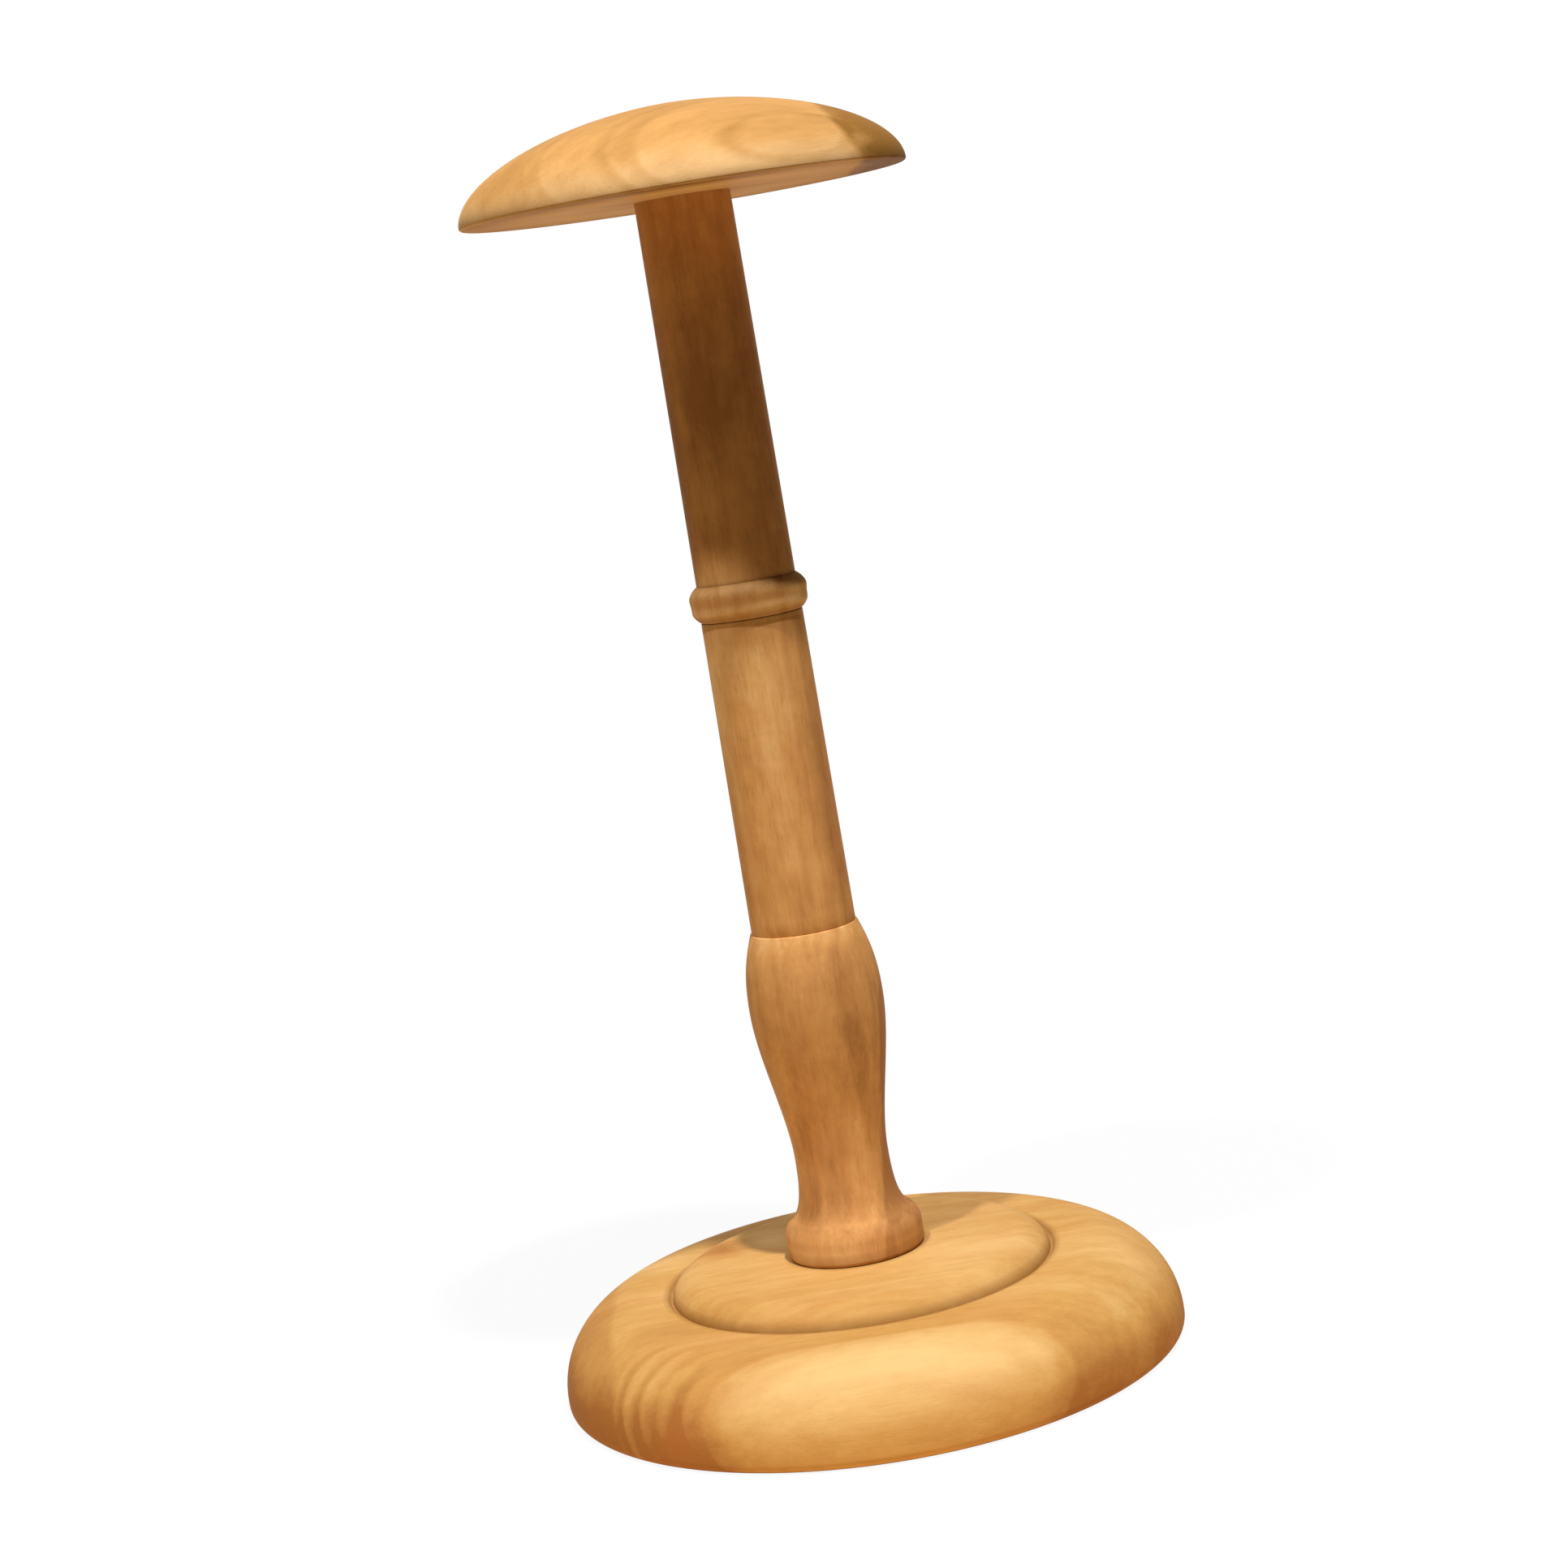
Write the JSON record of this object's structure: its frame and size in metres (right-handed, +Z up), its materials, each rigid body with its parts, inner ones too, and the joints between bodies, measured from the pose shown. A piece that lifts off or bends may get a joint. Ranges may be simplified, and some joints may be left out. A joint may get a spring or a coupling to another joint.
{
  "type": "wooden hat stand",
  "caption": "Turned hardwood stand with a domed head on a slim beaded post and a round stepped base, for holding a hat.",
  "frame": {"origin": "centre of the base's underside, on the floor", "axes": "+Z up along the post's axis; the stand is round, so +X and +Y are free"},
  "size_m": [0.176, 0.176, 0.355],
  "materials": {
    "head_wood": "clear satin finish on pale turned hardwood",
    "post_wood": "clear satin finish on straight-grained turned hardwood",
    "base_wood": "clear satin finish on flat-sawn turned hardwood",
    "screw_steel": "plain zinc-plated steel"
  },
  "bodies": {
    "root": {"head": "head_wood", "post": "post_wood", "base": "base_wood", "base_screw": "screw_steel", "screw_washer": "screw_steel"}
  },
  "joints": []
}
